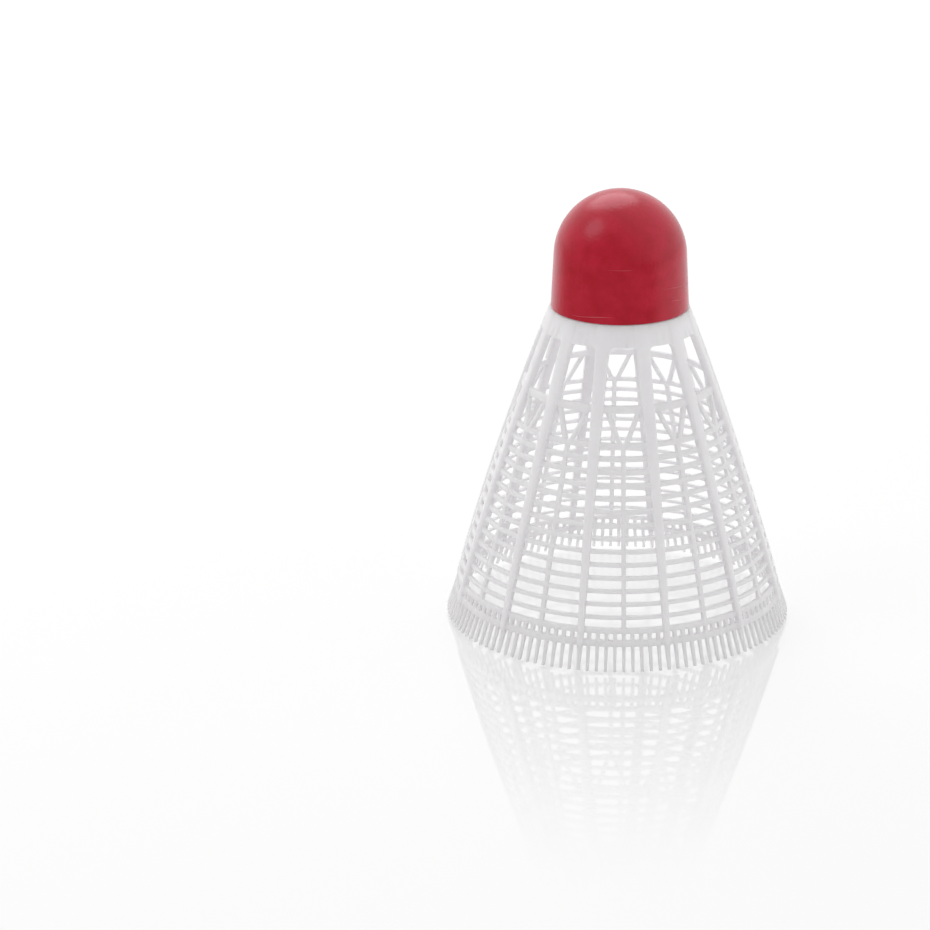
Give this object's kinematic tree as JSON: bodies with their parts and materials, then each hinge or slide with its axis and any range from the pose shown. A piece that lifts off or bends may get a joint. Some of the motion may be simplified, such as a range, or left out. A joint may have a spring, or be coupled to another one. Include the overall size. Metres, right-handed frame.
{
  "type": "badminton shuttlecock",
  "caption": "Badminton shuttlecock: a hollow domed cap pressed over an open net skirt of moulded plastic, flaring to a banded rim with a fringe of fine teeth.",
  "frame": {"origin": "on the axis, in the plane of the fringe tips that the shuttlecock stands on", "axes": "+Z along the axis from the fringe to the nose; +X through the first main rib"},
  "size_m": [0.066, 0.066, 0.0832],
  "materials": {
    "cap": "matt soft moulded rubber, red, faintly scuffed",
    "skirt": "white, slightly translucent moulded plastic with a satin skin"
  },
  "bodies": {
    "root": {"nose_cap": "cap", "crown": "skirt", "main_rib_01": "skirt", "main_rib_02": "skirt", "main_rib_03": "skirt", "main_rib_04": "skirt", "main_rib_05": "skirt", "main_rib_06": "skirt", "main_rib_07": "skirt", "main_rib_08": "skirt", "main_rib_09": "skirt", "main_rib_10": "skirt", "main_rib_11": "skirt", "main_rib_12": "skirt", "net_panel_01": "skirt", "net_panel_02": "skirt", "net_panel_03": "skirt", "net_panel_04": "skirt", "net_panel_05": "skirt", "net_panel_06": "skirt", "net_panel_07": "skirt", "net_panel_08": "skirt", "net_panel_09": "skirt", "net_panel_10": "skirt", "net_panel_11": "skirt", "net_panel_12": "skirt", "rim_segment_01": "skirt", "rim_segment_02": "skirt", "rim_segment_03": "skirt", "rim_segment_04": "skirt", "rim_segment_05": "skirt", "rim_segment_06": "skirt", "rim_segment_07": "skirt", "rim_segment_08": "skirt", "rim_segment_09": "skirt", "rim_segment_10": "skirt", "rim_segment_11": "skirt", "rim_segment_12": "skirt"}
  },
  "joints": []
}
